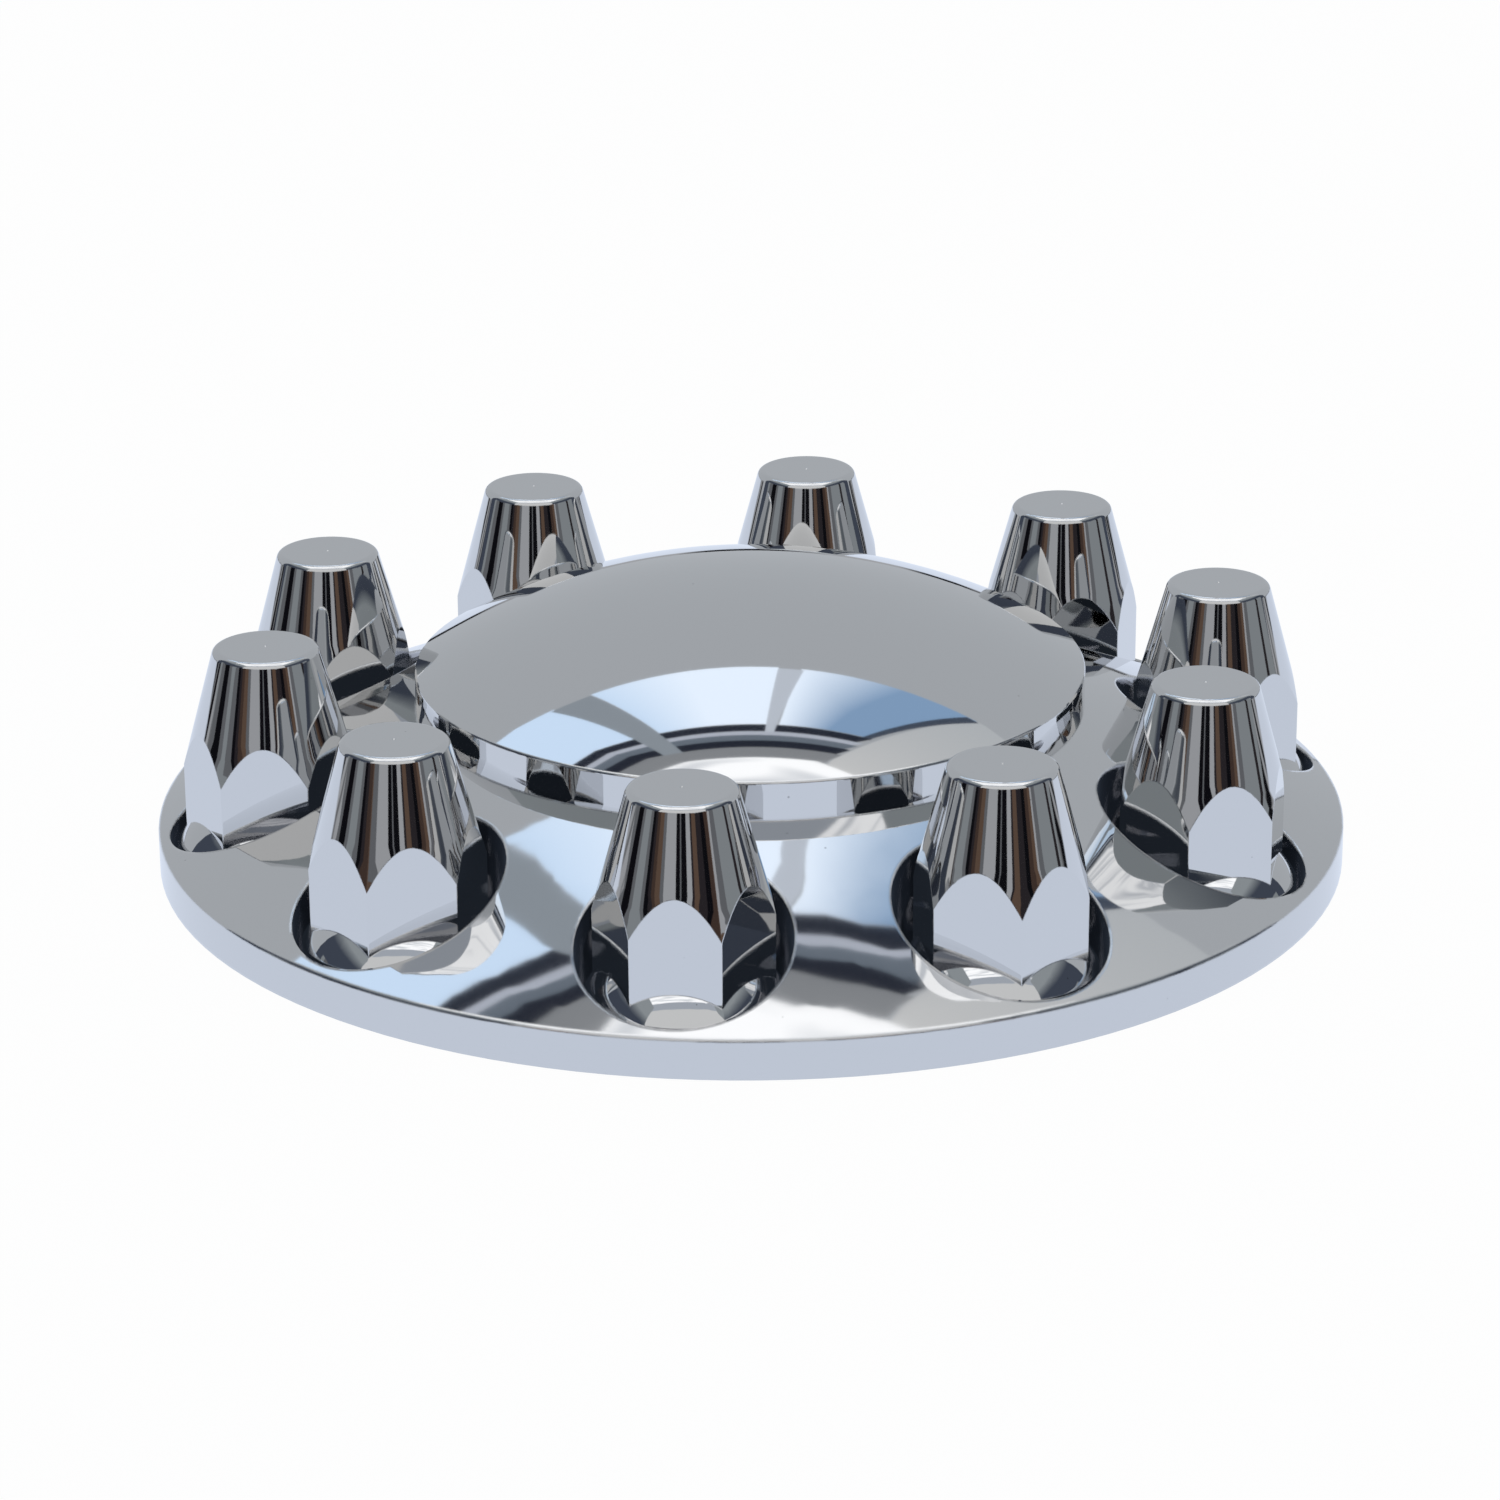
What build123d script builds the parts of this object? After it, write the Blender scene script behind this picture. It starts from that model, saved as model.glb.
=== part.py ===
from build123d import *
from math import atan2, cos, radians, sin, tan
import os

# Chromed plastic dress-up set for a ten-stud truck axle end, in millimetres.
# A crowned axle cover lies against the wheel, a domed hub cap closes its middle,
# and ten tall lug nut caps stand in its wells. The origin is on the wheel face,
# on the axle's centre line, with +Z pointing away from the wheel.

# What the set fits on
stud_count = 10
bolt_circle_dia = 285.75
first_stud_angle = -90.0
nut_across_flats = 33.0
nut_washer_dia = 46.0

# Axle cover: skirt, crowned face, the hub cap's seat and the neck inside it
cover_wall = 2.6
cover_margin = 1.125
skirt_height = 11.6
skirt_edge_radius = 1.0
crown_swing = 4.1
seat_z = 44.0
neck_height = 7.5

# Wells: a round sleeve for each lug nut cap, from the crown down to the wheel
foot_clearance = 2.7
well_wall = 1.9
well_floor = 2.5
washer_clearance = 0.5

# Hub cap: spherical dome on an upright band
hub_cap_dia = 198.0
hub_cap_wall = 2.5
hub_band_height = 11.5
dome_rise = 26.5
dome_edge_radius = 0.8
neck_clearance = 0.25

# Lug nut cap: a long cone runs out over a hexagon, above a flared foot
cap_top_z = 70.9
hexagon_sides = 6
cap_across_flats = 43.6
cap_top_dia = 30.4
cap_cone_angle = 15.4
cap_edge_radius = 2.1
cap_foot_dia = 54.8
cap_foot_z = 12.1
cap_flare_top_z = 19.4
cap_flare_radius = 24.0
cap_wall = 2.4
grip_clearance = 0.4
grip_rib_width = 2.0
grip_rib_height = 30.0
gate_mark_dia = 0.9
gate_mark_depth = 0.25

# How far a corner of each cap's hexagon is turned from the radial line,
# as the caps happen to stand, counted from the first stud
cap_turns = [32, 42, 42, 33, 26, 12, 5, 48, 50, 27]

# Worked out from the values above
bolt_circle_radius = bolt_circle_dia / 2
hub_cap_radius = hub_cap_dia / 2
neck_radius = hub_cap_radius - hub_cap_wall - neck_clearance
cap_foot_radius = cap_foot_dia / 2
well_radius = cap_foot_radius + foot_clearance
cover_radius = bolt_circle_radius + well_radius + well_wall + cover_margin
crown_fall = atan2(seat_z - skirt_height, cover_radius - hub_cap_radius)
crown_outer_slope = crown_fall + radians(crown_swing)
crown_inner_slope = crown_fall - radians(crown_swing)
cut_overrun = 5.0


def turned(outline):
    """Solid turned about the Z axis from a closed outline in the XZ plane."""
    return revolve(make_face(Plane.XZ * outline), axis=Axis.Z)


def crown_curve(outer_end, inner_end):
    """Smooth curve between two points, which swings from the straight line at its ends."""
    chord = inner_end - outer_end
    bulge = Vector(chord.Y, -chord.X) * tan(radians(crown_swing)) / 2
    return Bezier(outer_end, (outer_end + inner_end) / 2 + bulge, inner_end)


def cover_form(wall, past):
    """Solid inside the cover's skirt, crown, level seat and neck, all moved in by a wall.

    It runs past the wheel face and past the neck's top by the second value.
    """
    skirt_radius = cover_radius - wall
    skirt_top = skirt_height - wall * (1 - sin(crown_outer_slope)) / cos(crown_outer_slope)
    seat_radius = hub_cap_radius - wall * tan(crown_inner_slope / 2)
    skirt_end = Vector(skirt_radius, skirt_top)
    seat_edge = Vector(seat_radius, seat_z - wall)
    neck_foot = Vector(neck_radius - wall, seat_z - wall)
    neck_end = Vector(neck_radius - wall, seat_z + neck_height + past)
    return turned(
        Polyline((0, -past), (skirt_radius, -past), skirt_end)
        + crown_curve(skirt_end, seat_edge)
        + Polyline(seat_edge, neck_foot, neck_end, (0, neck_end.Y), (0, -past))
    )


def cover_body():
    """The cover without its hollow, the edge between skirt and crown rounded over."""
    body = cover_form(0, 0)
    rings = body.edges().filter_by(lambda edge: edge.is_closed and edge.radius > hub_cap_radius)
    return fillet(rings.sort_by(Axis.Z)[-1], skirt_edge_radius)


def upright(radius, height):
    """Cylinder that stands on the wheel face."""
    return Cylinder(radius, height, align=(Align.CENTER, Align.CENTER, Align.MIN))


def axle_cover():
    """The whole cover: its hollow goes round ten sleeves, each with a floor and a hole."""
    wells = PolarLocations(bolt_circle_radius, stud_count, start_angle=first_stud_angle)
    sleeve = upright(well_radius + well_wall, seat_z)
    bore = Pos(0, 0, well_floor) * upright(well_radius, seat_z)
    floor_hole = upright(nut_washer_dia / 2 + washer_clearance, seat_z)
    hollow = cover_form(cover_wall, cut_overrun) - [well * sleeve for well in wells]
    return cover_body() - hollow - [well * (bore + floor_hole) for well in wells]


def dome_form(radius, sphere_radius, sphere_centre_z):
    """Solid band of that radius on the cover's seat, closed by part of a sphere."""
    band = Pos(0, 0, seat_z) * upright(radius, hub_band_height + dome_rise)
    return band & (Pos(0, 0, sphere_centre_z) * Sphere(sphere_radius))


def hub_cap():
    """Spherical shell on an upright band, which stands on the cover's seat."""
    sphere_radius = (hub_cap_radius**2 + dome_rise**2) / (2 * dome_rise)
    centre_z = seat_z + hub_band_height + dome_rise - sphere_radius
    outside = dome_form(hub_cap_radius, sphere_radius, centre_z)
    inside = dome_form(hub_cap_radius - hub_cap_wall, sphere_radius - hub_cap_wall, centre_z)
    rings = outside.edges().filter_by(lambda edge: edge.is_closed)
    return fillet(rings.sort_by(Axis.Z)[-1], dome_edge_radius) - inside


def cap_form(across_flats, top_radius, top_z, foot_radius, flare_shift, edge_radius):
    """Cone that runs out over a hexagon, joined to the flared foot under it."""
    height = top_z - well_floor
    cone_foot_radius = top_radius + height * tan(radians(cap_cone_angle))
    on_floor = Pos(0, 0, well_floor)
    standing = (Align.CENTER, Align.CENTER, Align.MIN)
    cone = on_floor * Cone(cone_foot_radius, top_radius, height, align=standing)
    if edge_radius > 0:
        cone = fillet(cone.edges().sort_by(Axis.Z)[-1], edge_radius)
    hexagon = RegularPolygon(across_flats / 2, hexagon_sides, major_radius=False)
    tower = cone & (on_floor * extrude(hexagon, height))
    flare_foot = Vector(foot_radius, cap_foot_z)
    flare_top = Vector(across_flats / 2, cap_flare_top_z - flare_shift)
    flare = RadiusArc(flare_foot, flare_top, -cap_flare_radius)
    foot = turned(
        Polyline((0, well_floor), (foot_radius, well_floor), flare_foot)
        + flare
        + Polyline(flare_top, (0, flare_top.Y), (0, well_floor))
    )
    return tower + foot


def grip_ribs(outer_flats):
    """Upright ribs on the inner flats, which close on the flats of the wheel nut."""
    reach = nut_across_flats / 2 + grip_clearance / 2
    depth = outer_flats / 2 - reach + cap_wall / 2
    rib = Pos(reach, 0, cap_foot_z) * Box(
        depth, grip_rib_width, grip_rib_height, align=(Align.MIN, Align.CENTER, Align.MIN)
    )
    return PolarLocations(0, hexagon_sides, start_angle=180 / hexagon_sides) * rib


def lug_nut_cap():
    """One hollow cap with its foot at the height of the well floor."""
    cone_wall = cap_wall / cos(radians(cap_cone_angle))
    outer_top_radius = cap_top_dia / 2
    inner_top_radius = outer_top_radius - cone_wall + cap_wall * tan(radians(cap_cone_angle))
    inner_flats = cap_across_flats - 2 * cap_wall
    outside = cap_form(
        cap_across_flats, outer_top_radius, cap_top_z, cap_foot_radius, 0, cap_edge_radius
    )
    inside = cap_form(
        inner_flats, inner_top_radius, cap_top_z - cap_wall, cap_foot_radius - cap_wall, cap_wall, 0
    )
    gate_mark = Pos(0, 0, cap_top_z) * Cylinder(gate_mark_dia / 2, 2 * gate_mark_depth)
    return outside - inside + grip_ribs(inner_flats) - gate_mark


os.makedirs("parts", exist_ok=True)
export_step(axle_cover(), "parts/axle_cover.step")
export_step(hub_cap(), "parts/hub_cap.step")
cap = lug_nut_cap()
studs = PolarLocations(bolt_circle_radius, stud_count, start_angle=first_stud_angle)
for number, (stud, turn) in enumerate(zip(studs, cap_turns), start=1):
    export_step(stud * Rot(0, 0, turn) * cap, f"parts/lug_nut_cap_{number:02d}.step")
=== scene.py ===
from math import cos, hypot, radians, sin

import bpy
from mathutils import Color, Matrix, Vector


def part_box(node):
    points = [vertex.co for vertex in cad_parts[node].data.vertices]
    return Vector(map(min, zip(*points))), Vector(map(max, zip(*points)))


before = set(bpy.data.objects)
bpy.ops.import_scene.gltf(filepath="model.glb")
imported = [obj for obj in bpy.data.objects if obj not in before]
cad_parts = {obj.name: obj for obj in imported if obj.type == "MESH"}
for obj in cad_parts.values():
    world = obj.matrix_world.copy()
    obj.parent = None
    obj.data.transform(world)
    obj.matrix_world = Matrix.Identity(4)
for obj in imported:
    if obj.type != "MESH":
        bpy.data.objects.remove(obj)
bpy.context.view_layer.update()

# Camera of the photograph: it looks down at a point a little in front of the axle's
# centre line, from a little to the right of the first well. Lengths here and below
# are in metres, apart from the sensor's, and angles in degrees.
image_pixels = 1500
sensor_width_mm = 36.0
focal_pixels = 5052.0
camera_distance = 1.48855
camera_elevation = 20.64
camera_roll = -0.34
camera_turn = 7.41
aim_point = Vector((-0.00016, -0.01415, 0.03335))

# The studio is laid out square to the camera's heading, and turned with it about the axle
studio_turn = Matrix.Rotation(radians(camera_turn), 4, "Z")

# Chrome gives back this share of what it mirrors
chrome_reflectance = 0.68
chrome_colour = (chrome_reflectance, chrome_reflectance, chrome_reflectance, 1.0)

# Largest value in a screen colour
screen_white = 255


def seen_tone(red, green, blue):
    """Light that looks this screen colour once the chrome has mirrored it."""
    screen = Color((red / screen_white, green / screen_white, blue / screen_white))
    linear = screen.from_srgb_to_scene_linear()
    return (*(value / chrome_reflectance for value in linear), 1.0)


# Studio and room, as the chrome shows them
table_tone = seen_tone(189, 197, 211)
sweep_tone = seen_tone(157, 161, 166)
ceiling_tone = seen_tone(252, 253, 255)
ceiling_shade = seen_tone(198, 202, 208)
wall_tone = seen_tone(190, 191, 192)
side_dark = seen_tone(58, 64, 76)
side_tone = seen_tone(132, 138, 142)
near_head_tone = seen_tone(154, 160, 169)
sky_bright = seen_tone(228, 240, 255)
sky_left = seen_tone(198, 219, 243)
sky_deep = seen_tone(124, 152, 184)
mullion_tone = seen_tone(180, 187, 198)
mullion_shade = seen_tone(132, 140, 148)
frame_dark = seen_tone(34, 38, 49)
frame_side = seen_tone(62, 70, 84)
frame_light = seen_tone(170, 176, 188)
frame_tone = seen_tone(98, 107, 118)
coving_tone = seen_tone(126, 129, 133)
pale_tone = seen_tone(170, 174, 178)

# Things at table height, and the streaks on the room's floor
black = seen_tone(12, 12, 16)
dark = seen_tone(36, 33, 36)
brown = seen_tone(58, 46, 41)
tan_brown = seen_tone(82, 66, 56)
grey = seen_tone(88, 90, 94)
mid = seen_tone(118, 123, 127)
light = seen_tone(143, 145, 149)

# Room: the window wall stands behind the object, the near wall behind the camera.
# A card in front of another stands one step nearer to the object.
room_half_width = 5.0
wall_y = 2.0
room_near_y = -4.8
ceiling_near_y = -4.0
ceiling_z = 8.0
near_head_foot = 6.6
step_forward = 0.01

# Window above the grey sweep: foot, head and right end, how far that end leans at
# the top, and the right end of the pale wall beside it
window_foot = 2.70
window_head = 5.02
window_right = 1.66
window_lean = -0.2
pale_wall_right = 3.2

# Panes: left and right end, lean of each end's top, then the sky's tone on the left,
# the tone that it turns to and the share of the width where it has turned
panes = (
    ("pane_left", -2.05, -1.40, -0.45, 0.0, sky_left, sky_left, 1.0),
    ("pane_middle", -1.10, 0.19, 0.0, 0.0, sky_left, sky_bright, 0.5),
    ("pane_right", 0.34, window_right, 0.0, window_lean, sky_bright, sky_deep, 0.55),
)

# Bar at the window's right side
frame_right_start = 1.57
frame_right_end = 1.68

# Level strips above the window: ends, lean of the right end's top, then the height
# of each strip's top, from the window's head upwards
head_left = -2.6
head_right = 1.5
head_lean = -0.1
head_line_top = 5.45
band_top = 6.75
head_strips = (
    ("window_head", head_line_top, frame_dark),
    ("blind_box", 5.72, frame_light),
    ("window_band", 6.15, frame_tone),
    ("band_top", band_top, frame_dark),
    ("coving", 7.85, coving_tone),
)

# Bars between the panes: ends, top, lean of the right end's top
mullions = (
    ("mullion_left", -1.42, -1.10, band_top, 0.0, mullion_shade),
    ("mullion_middle", 0.185, 0.355, head_line_top, -0.05, mullion_tone),
)

# Soft level waves of the ceiling: how the card is stretched under the noise, the noise
# itself, and the levels of it that turn into the darker and the lighter tone
ceiling_stretch = (1.6, 9.0, 1.0)
ceiling_wave_scale = 1.5
ceiling_wave_detail = 1.0
ceiling_wave_low = 0.36
ceiling_wave_high = 0.52

# The side walls are dark at the foot and lighter above: shares of their height
side_dark_top = 0.42
side_light_foot = 0.62

# What stands round the room at table height, from left to right as seen
# from the object: start and end in degrees from the camera, then its tone
stripe_radius = 4.4
stripe_top = 1.30
stripes = (
    (-100, -95, mid), (-95, -86, grey), (-86, -75, black), (-75, -70, grey),
    (-70, -58, mid), (-58, -53, grey), (-53, -48, black), (-48, -44, dark),
    (-44, -39, brown), (-39, -32, tan_brown), (-32, -27, grey), (-27, -10, light),
    (-10, -4, black), (-4, -2, grey), (-2, 6, black), (6, 13, light),
    (13, 16, dark), (16, 23, tan_brown), (23, 32, dark), (32, 38, black),
    (38, 44, brown), (44, 49, tan_brown), (49, 52, light), (52, 59, grey),
    (59, 82, mid), (82, 87, dark), (87, 100, mid),
)

# Floor: white to the eye, with a faint shadow. The chrome sees a pale round table,
# and a streaky dark room floor beyond its edge.
floor_reach = 6.0
floor_colour = (0.9, 0.9, 0.9, 1.0)
floor_whiteness = 0.97
table_radius = 0.95
table_edge = 1.15
streak_scale = 70.0
streak_detail = 0.0
streak_black_level = 0.40
streak_light_level = 0.62

# Light from all round, for everything but the camera
soft_light = (0.75, 0.77, 0.8, 1.0)

# Plates: roughness, strength and scale of the moulding's waves, scale of the dust
# specks, and the radius to which the edges are rounded to the eye
cover_look = (0.042, 0.02, 9.0, 60.0, 0.0013)
dome_look = (0.035, 0.02, 7.0, 60.0, 0.0006)
cap_look = (0.03, 0.03, 30.0, 90.0, 0.0005)
wave_depth = 0.001
wave_detail = 2.0
speck_core = 0.018
speck_rim = 0.028
speck_colour = (0.45, 0.45, 0.45, 1.0)
bevel_samples = 6

# Insides of the wells, with painted shade: a dark, cloudy base colour stands in for the shade there.
# The rim is where the rounded normal turns away from the face's
# own: it starts at the first cosine between the two and is full at the second; on it the painted
# shade gives way to the plate's own colour.
# The faint painted glow, light that the wells give off though they are no lamp, shows only where
# other faces mirror the wells.
well_roughness = 0.05
# Painted shade: the darkest and the lightest base colour inside the wells
well_shade_dark = (0.28, 0.28, 0.30, 1.0)
well_shade_light = (0.62, 0.62, 0.64, 1.0)
well_shade_cloud_scale = 40.0
# Painted glow: faint light that the wells' insides give off, seen only in reflections
well_painted_glow = (0.010, 0.013, 0.018, 1.0)
rim_rounding = 0.0018
rim_starts = 0.999
rim_full = 0.97

# What counts as inside a well: the cap's foot stands this far from the well's wall,
# a face may lie a little past it, and is either steep or low enough to be the floor's
foot_clearance = 0.0027
wall_tolerance = 0.0004
steep_limit = 0.2
well_floor_limit = 0.004


def add_camera():
    """Camera at the photograph's place, with its focal length and slight roll."""
    data = bpy.data.cameras.new("photo_camera")
    data.sensor_width = sensor_width_mm
    data.lens = focal_pixels / image_pixels * sensor_width_mm
    camera = bpy.data.objects.new("photo_camera", data)
    bpy.context.scene.collection.objects.link(camera)
    tilt, roll = radians(camera_elevation), radians(camera_roll)
    forward = Vector((0, cos(tilt), -sin(tilt)))
    level_right, level_up = Vector((1, 0, 0)), Vector((0, sin(tilt), cos(tilt)))
    right = cos(roll) * level_right + sin(roll) * level_up
    up = -sin(roll) * level_right + cos(roll) * level_up
    place = Matrix((right, up, -forward)).transposed().to_4x4()
    place.translation = aim_point - forward * camera_distance
    camera.matrix_world = studio_turn @ place
    bpy.context.scene.camera = camera


def new_material(name):
    """Empty node material, and its node tree."""
    material = bpy.data.materials.new(name)
    material.use_nodes = True
    material.node_tree.nodes.clear()
    return material, material.node_tree


def add_node(tree, kind, values=None):
    """New node of a kind, with these values on its inputs."""
    node = tree.nodes.new(f"ShaderNode{kind}")
    for socket, value in (values or {}).items():
        node.inputs[socket].default_value = value
    return node


def add_ramp(tree, first, first_colour, last, last_colour):
    """Colour ramp from one place and colour to another."""
    ramp = tree.nodes.new("ShaderNodeValToRGB")
    start, end = ramp.color_ramp.elements
    start.position, end.position = first, last
    start.color, end.color = first_colour, last_colour
    return ramp


def card_material(name, tone, second=None, low=0.0, high=1.0, along="Y"):
    """Light of one tone, or of two that run into each other.

    The change runs between two shares of the card's width, X, or of its height, Y.
    """
    material, tree = new_material(name)
    glow = add_node(tree, "Emission", {"Color": tone})
    output = add_node(tree, "OutputMaterial")
    tree.links.new(glow.outputs[0], output.inputs[0])
    if second is not None:
        place = add_node(tree, "TexCoord")
        split = add_node(tree, "SeparateXYZ")
        ramp = add_ramp(tree, low, tone, high, second)
        tree.links.new(place.outputs["UV"], split.inputs[0])
        tree.links.new(split.outputs[along], ramp.inputs[0])
        tree.links.new(ramp.outputs[0], glow.inputs[0])
    return material


def add_card(name, corners, material, shown=False):
    """Flat studio card from its four corners, given round its edge from the lower left."""
    mesh = bpy.data.meshes.new(name)
    mesh.from_pydata(corners, [], [(0, 1, 2, 3)])
    layer = mesh.uv_layers.new(name="UVMap")
    for loop, place in zip(layer.data, ((0, 0), (1, 0), (1, 1), (0, 1))):
        loop.uv = place
    card = bpy.data.objects.new(name, mesh)
    bpy.context.scene.collection.objects.link(card)
    card.data.materials.append(material)
    card.matrix_world = studio_turn
    card.visible_camera = shown
    card.visible_shadow = False


def upright_card(name, x0, x1, z0, z1, y, material, lean0=0.0, lean1=0.0):
    """Upright card square to the camera's heading; its top corners may lean sideways."""
    corners = [(x0, y, z0), (x1, y, z0), (x1 + lean1, y, z1), (x0 + lean0, y, z1)]
    add_card(name, corners, material)


def level_card(name, y0, y1, z, material):
    """Level card right across the room, from one distance to another."""
    wide = room_half_width
    add_card(name, [(-wide, y0, z), (wide, y0, z), (wide, y1, z), (-wide, y1, z)], material)


def window_wall():
    """Grey sweep with a tall window above it and the strips up to the ceiling."""
    sweep = card_material("sweep", sweep_tone)
    upright_card("sweep", -room_half_width, room_half_width, 0, ceiling_z, wall_y, sweep)
    near = wall_y - step_forward
    for name, x0, x1, lean0, lean1, tone, second, turned in panes:
        sky = card_material(name, tone, second, 0.0, turned, along="X")
        upright_card(name, x0, x1, window_foot, window_head, near, sky, lean0, lean1)
    pale = card_material("pale_wall", pale_tone, wall_tone)
    upright_card("pale_wall", window_right, pale_wall_right, window_foot, ceiling_z, near, pale,
                 window_lean)
    near -= step_forward
    side_bar = card_material("frame_right", frame_side)
    upright_card("frame_right", frame_right_start, frame_right_end, window_foot, window_head, near,
                 side_bar, window_lean, window_lean)
    strip_foot = window_head
    for name, strip_head, tone in head_strips:
        strip = card_material(name, tone)
        upright_card(name, head_left, head_right, strip_foot, strip_head, near, strip, 0.0, head_lean)
        strip_foot = strip_head
    near -= step_forward
    for name, x0, x1, bar_head, lean, tone in mullions:
        bar = card_material(name, tone)
        upright_card(name, x0, x1, window_foot, bar_head, near, bar, 0.0, lean)


def ceiling_material():
    """White ceiling in soft level waves of a slightly darker tone."""
    material, tree = new_material("ceiling")
    place = add_node(tree, "TexCoord")
    stretch = add_node(tree, "Mapping", {"Scale": ceiling_stretch})
    waves = add_node(tree, "TexNoise", {"Scale": ceiling_wave_scale, "Detail": ceiling_wave_detail})
    ramp = add_ramp(tree, ceiling_wave_low, ceiling_shade, ceiling_wave_high, ceiling_tone)
    glow = add_node(tree, "Emission")
    output = add_node(tree, "OutputMaterial")
    tree.links.new(place.outputs["UV"], stretch.inputs["Vector"])
    tree.links.new(stretch.outputs[0], waves.inputs["Vector"])
    tree.links.new(waves.outputs[0], ramp.inputs[0])
    tree.links.new(ramp.outputs[0], glow.inputs[0])
    tree.links.new(glow.outputs[0], output.inputs[0])
    return material


def ceiling_and_walls():
    """White ceiling with a greyer near edge, pale near wall and grey side walls."""
    level_card("ceiling", wall_y, ceiling_near_y, ceiling_z, ceiling_material())
    edge = card_material("ceiling_edge", near_head_tone)
    level_card("ceiling_edge", ceiling_near_y, room_near_y, ceiling_z, edge)
    wide = room_half_width
    near_wall = card_material("near_wall", wall_tone)
    upright_card("near_wall", -wide, wide, 0, ceiling_z, room_near_y, near_wall)
    near_head = card_material("near_head", near_head_tone)
    head_y = room_near_y + step_forward
    upright_card("near_head", -wide, wide, near_head_foot, ceiling_z, head_y, near_head)
    side = card_material("side_wall", side_dark, side_tone, side_dark_top, side_light_foot)
    for name, x in (("side_wall_left", -wide), ("side_wall_right", wide)):
        corners = [(x, wall_y, 0), (x, room_near_y, 0),
                   (x, room_near_y, ceiling_z), (x, wall_y, ceiling_z)]
        add_card(name, corners, side)


def room_stripes():
    """Upright cards round the near half of the room, one for each stripe."""
    materials = {}
    for number, (start, end, tone) in enumerate(stripes):
        if tone not in materials:
            materials[tone] = card_material(f"stripe_{len(materials)}", tone)
        corners = []
        for angle, z in ((start, 0), (end, 0), (end, stripe_top), (start, stripe_top)):
            side = radians(angle)
            corners.append((stripe_radius * sin(side), -stripe_radius * cos(side), z))
        add_card(f"stripe_{number:02d}", corners, materials[tone])


def table_and_streaks(tree):
    """Colour of the table, and beyond it of streaks that run out from the middle."""
    place = add_node(tree, "TexCoord")
    distance = add_node(tree, "VectorMath")
    distance.operation = "LENGTH"
    beyond = add_node(tree, "MapRange", {"From Min": table_radius, "From Max": table_edge})
    heading = add_node(tree, "TexGradient")
    heading.gradient_type = "RADIAL"
    streaks = add_node(tree, "TexNoise", {"Scale": streak_scale, "Detail": streak_detail})
    streaks.noise_dimensions = "1D"
    tones = add_ramp(tree, streak_black_level, black, streak_light_level, light)
    colour = add_node(tree, "Mix")
    colour.data_type = "RGBA"
    colour.inputs["A"].default_value = table_tone
    tree.links.new(place.outputs["Object"], distance.inputs[0])
    tree.links.new(distance.outputs["Value"], beyond.inputs["Value"])
    tree.links.new(place.outputs["Object"], heading.inputs["Vector"])
    tree.links.new(heading.outputs["Fac"], streaks.inputs["W"])
    tree.links.new(streaks.outputs[0], tones.inputs[0])
    tree.links.new(beyond.outputs["Result"], colour.inputs["Factor"])
    tree.links.new(tones.outputs[0], colour.inputs["B"])
    return colour.outputs["Result"]


def add_floor():
    """Floor that is nearly white to the camera and shows the table to the chrome."""
    material, tree = new_material("floor")
    path = add_node(tree, "LightPath")
    matt = add_node(tree, "BsdfDiffuse", {"Color": floor_colour})
    white = add_node(tree, "Emission")
    table = add_node(tree, "Emission")
    tree.links.new(table_and_streaks(tree), table.inputs["Color"])
    camera_share = add_node(tree, "Math")
    camera_share.operation = "MULTIPLY"
    camera_share.inputs[1].default_value = floor_whiteness
    seen = add_node(tree, "MixShader")
    mirrored = add_node(tree, "MixShader")
    output = add_node(tree, "OutputMaterial")
    tree.links.new(path.outputs["Is Camera Ray"], camera_share.inputs[0])
    tree.links.new(camera_share.outputs[0], seen.inputs[0])
    tree.links.new(matt.outputs[0], seen.inputs[1])
    tree.links.new(white.outputs[0], seen.inputs[2])
    tree.links.new(path.outputs["Is Glossy Ray"], mirrored.inputs[0])
    tree.links.new(seen.outputs[0], mirrored.inputs[1])
    tree.links.new(table.outputs[0], mirrored.inputs[2])
    tree.links.new(mirrored.outputs[0], output.inputs[0])
    far = floor_reach
    corners = [(-far, -far, 0), (far, -far, 0), (far, far, 0), (-far, far, 0)]
    add_card("floor", corners, material, shown=True)


def add_world():
    """White behind everything for the camera, soft grey for all other light."""
    world = bpy.data.worlds.new("studio")
    bpy.context.scene.world = world
    world.use_nodes = True
    tree = world.node_tree
    tree.nodes.clear()
    path = add_node(tree, "LightPath")
    soft = add_node(tree, "Background", {"Color": soft_light})
    white = add_node(tree, "Background")
    mix = add_node(tree, "MixShader")
    output = add_node(tree, "OutputWorld")
    tree.links.new(path.outputs["Is Camera Ray"], mix.inputs[0])
    tree.links.new(soft.outputs[0], mix.inputs[1])
    tree.links.new(white.outputs[0], mix.inputs[2])
    tree.links.new(mix.outputs[0], output.inputs[0])


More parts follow.
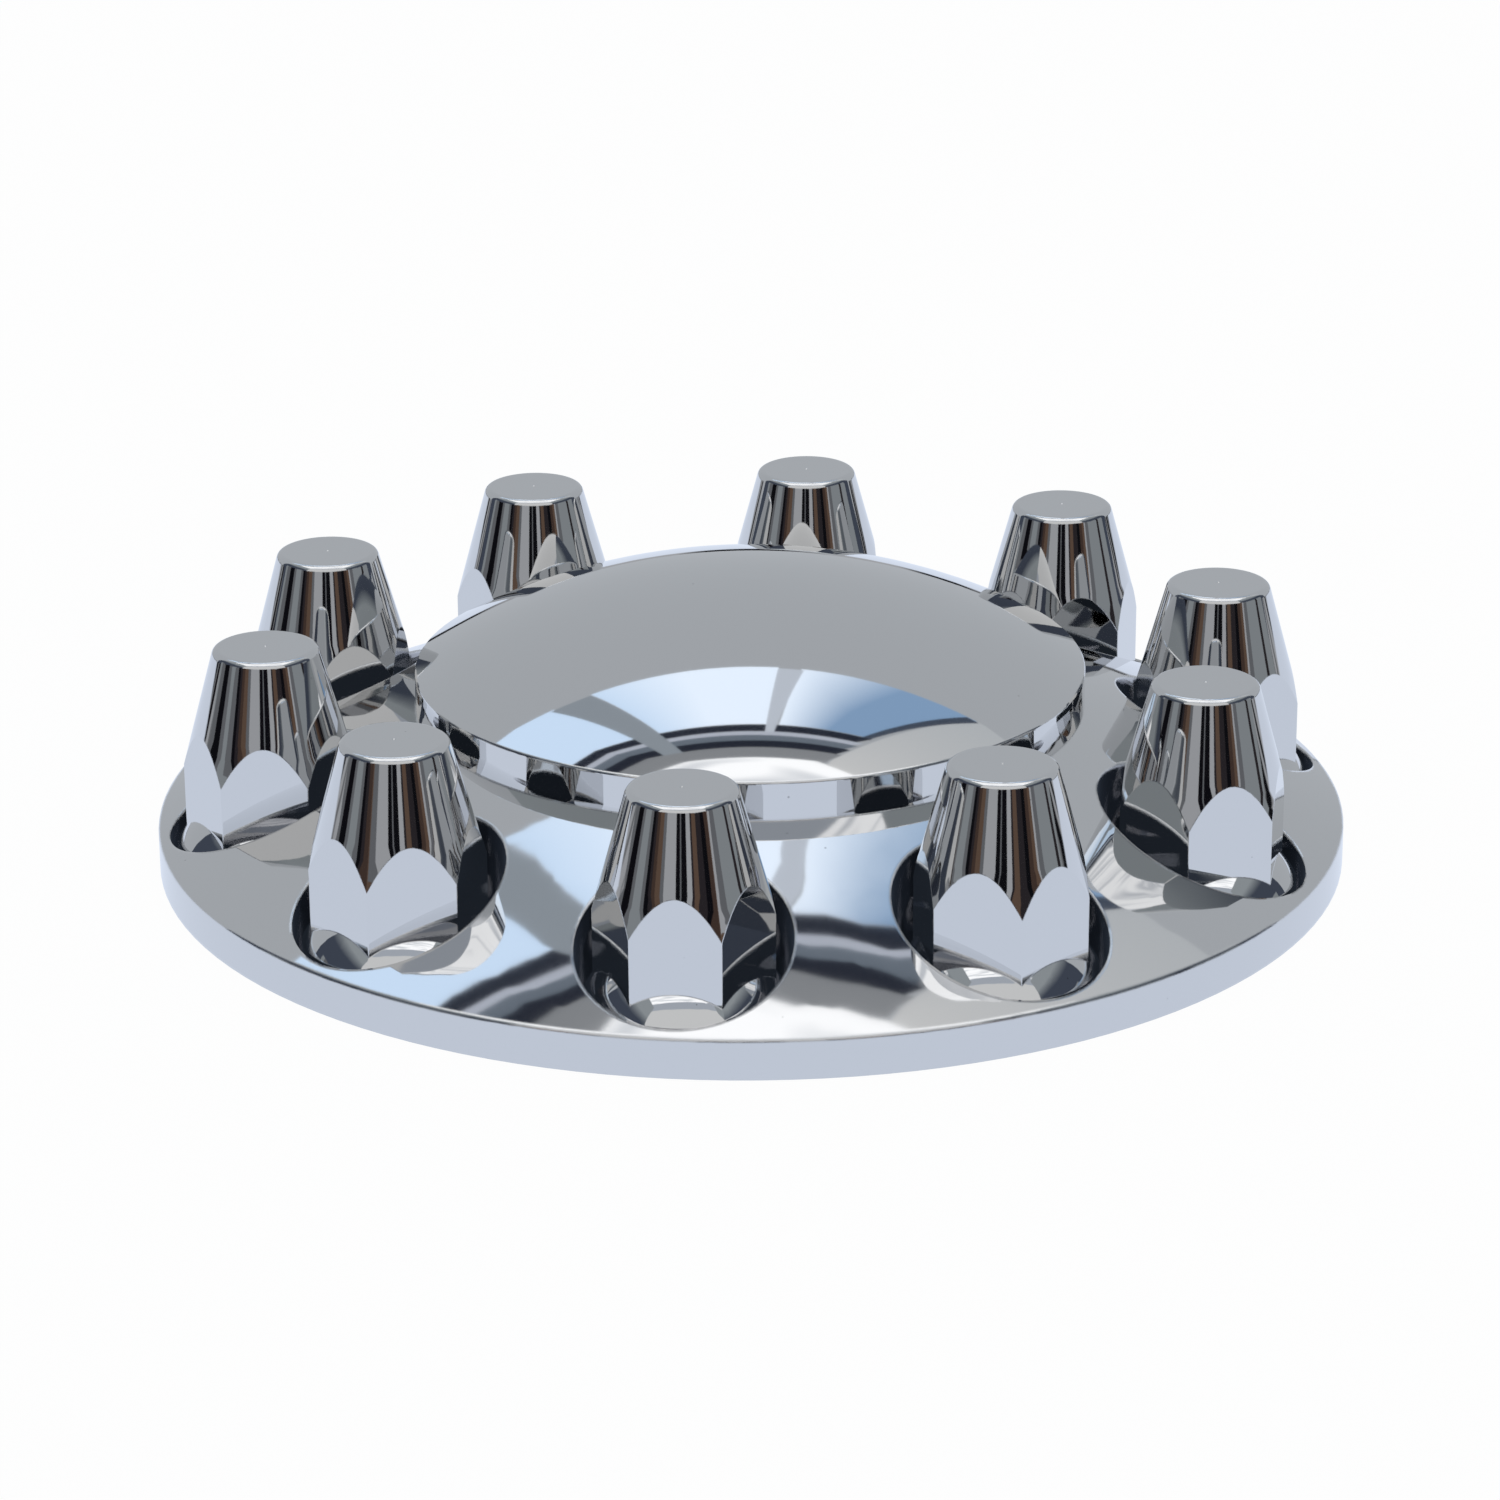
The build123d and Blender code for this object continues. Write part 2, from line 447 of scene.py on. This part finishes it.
def chrome_material(name, roughness, waviness, wave_scale, speck_scale, rounding):
    """Bright plate: faint waves of the moulding, softened edges and specks of dust."""
    material, tree = new_material(name)
    shader = add_node(tree, "BsdfPrincipled", {"Metallic": 1.0, "Roughness": roughness})
    output = add_node(tree, "OutputMaterial")
    place = add_node(tree, "TexCoord")
    waves = add_node(tree, "TexNoise", {"Scale": wave_scale, "Detail": wave_detail})
    edges = add_node(tree, "Bevel", {"Radius": rounding})
    edges.samples = bevel_samples
    bump = add_node(tree, "Bump", {"Strength": waviness, "Distance": wave_depth})
    specks = add_node(tree, "TexVoronoi", {"Scale": speck_scale})
    speck_size = add_ramp(tree, speck_core, speck_colour, speck_rim, chrome_colour)
    tree.links.new(place.outputs["Object"], waves.inputs["Vector"])
    tree.links.new(place.outputs["Object"], specks.inputs["Vector"])
    tree.links.new(edges.outputs[0], bump.inputs["Normal"])
    tree.links.new(waves.outputs[0], bump.inputs["Height"])
    tree.links.new(bump.outputs[0], shader.inputs["Normal"])
    tree.links.new(specks.outputs["Distance"], speck_size.inputs[0])
    tree.links.new(speck_size.outputs[0], shader.inputs["Base Color"])
    tree.links.new(shader.outputs[0], output.inputs[0])
    return material


def well_shade_material():
    """Plate inside the wells with painted shade: a cloudy dark base colour, the plate's own colour on
    the rim, and a faint painted glow seen only in reflections.
    """
    material, tree = new_material("well_shade_plate")
    surface = {"Metallic": 1.0, "Roughness": well_roughness, "Emission Color": well_painted_glow}
    shader = add_node(tree, "BsdfPrincipled", surface)
    output = add_node(tree, "OutputMaterial")
    edges = add_node(tree, "Bevel", {"Radius": rim_rounding})
    edges.samples = bevel_samples
    flat = add_node(tree, "NewGeometry")
    match = add_node(tree, "VectorMath")
    match.operation = "DOT_PRODUCT"
    on_rim = add_node(tree, "MapRange", {"From Min": rim_starts, "From Max": rim_full})
    shade_or_plate = add_node(tree, "Mix")
    shade_or_plate.data_type = "RGBA"
    shade_or_plate.inputs["B"].default_value = chrome_colour
    place = add_node(tree, "TexCoord")
    shade_cloud = add_node(tree, "TexNoise", {"Scale": well_shade_cloud_scale})
    # Painted shade: cloudy dark base colour inside the wells, mixed to the plate's own colour on the
    # rim
    tones = add_ramp(tree, 0.0, well_shade_dark, 1.0, well_shade_light)
    path = add_node(tree, "LightPath")
    tree.links.new(place.outputs["Object"], shade_cloud.inputs["Vector"])
    tree.links.new(shade_cloud.outputs[0], tones.inputs[0])
    tree.links.new(edges.outputs[0], match.inputs[0])
    tree.links.new(flat.outputs["Normal"], match.inputs[1])
    tree.links.new(match.outputs["Value"], on_rim.inputs["Value"])
    tree.links.new(on_rim.outputs["Result"], shade_or_plate.inputs["Factor"])
    tree.links.new(tones.outputs[0], shade_or_plate.inputs["A"])
    tree.links.new(shade_or_plate.outputs["Result"], shader.inputs["Base Color"])
    tree.links.new(edges.outputs[0], shader.inputs["Normal"])
    # Painted glow: the wells give off light only to glossy rays, so it shows only in reflections
    tree.links.new(path.outputs["Is Glossy Ray"], shader.inputs["Emission Strength"])
    tree.links.new(shader.outputs[0], output.inputs[0])
    return material


def foot_circle(cap_name):
    """Middle and radius of a cap's round foot, seen from above."""
    low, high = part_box(cap_name)
    return (low.x + high.x) / 2, (low.y + high.y) / 2, (high.x - low.x) / 2


def paint_well_shade(cover, feet):
    """Gives the cover's faces round each cap's foot, inside the wells, the plate with painted shade.
    """
    cover.data.materials.append(well_shade_material())
    reach = foot_clearance + wall_tolerance
    for face in cover.data.polygons:
        place = cover.matrix_world @ face.center
        in_well = any(hypot(place.x - x, place.y - y) < radius + reach for x, y, radius in feet)
        # Faces inside the wells get the plate with painted shade
        if in_well and (abs(face.normal.z) < steep_limit or place.z < well_floor_limit):
            face.material_index = 1


def finish_nodes():
    """Gives every piece its plate, and the insides of the wells their plate with painted shade."""
    cover_plate = chrome_material("cover_plate", *cover_look)
    dome_plate = chrome_material("hub_plate", *dome_look)
    cap_plate = chrome_material("cap_plate", *cap_look)
    plates = {"axle_cover": cover_plate, "hub_cap": dome_plate}
    for name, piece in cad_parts.items():
        piece.data.materials.clear()
        piece.data.materials.append(plates.get(name, cap_plate))
    feet = [foot_circle(name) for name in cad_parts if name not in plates]
    paint_well_shade(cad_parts["axle_cover"], feet)


scene = bpy.context.scene
scene.view_settings.view_transform = "Standard"
add_camera()
add_world()
add_floor()
window_wall()
ceiling_and_walls()
room_stripes()
finish_nodes()
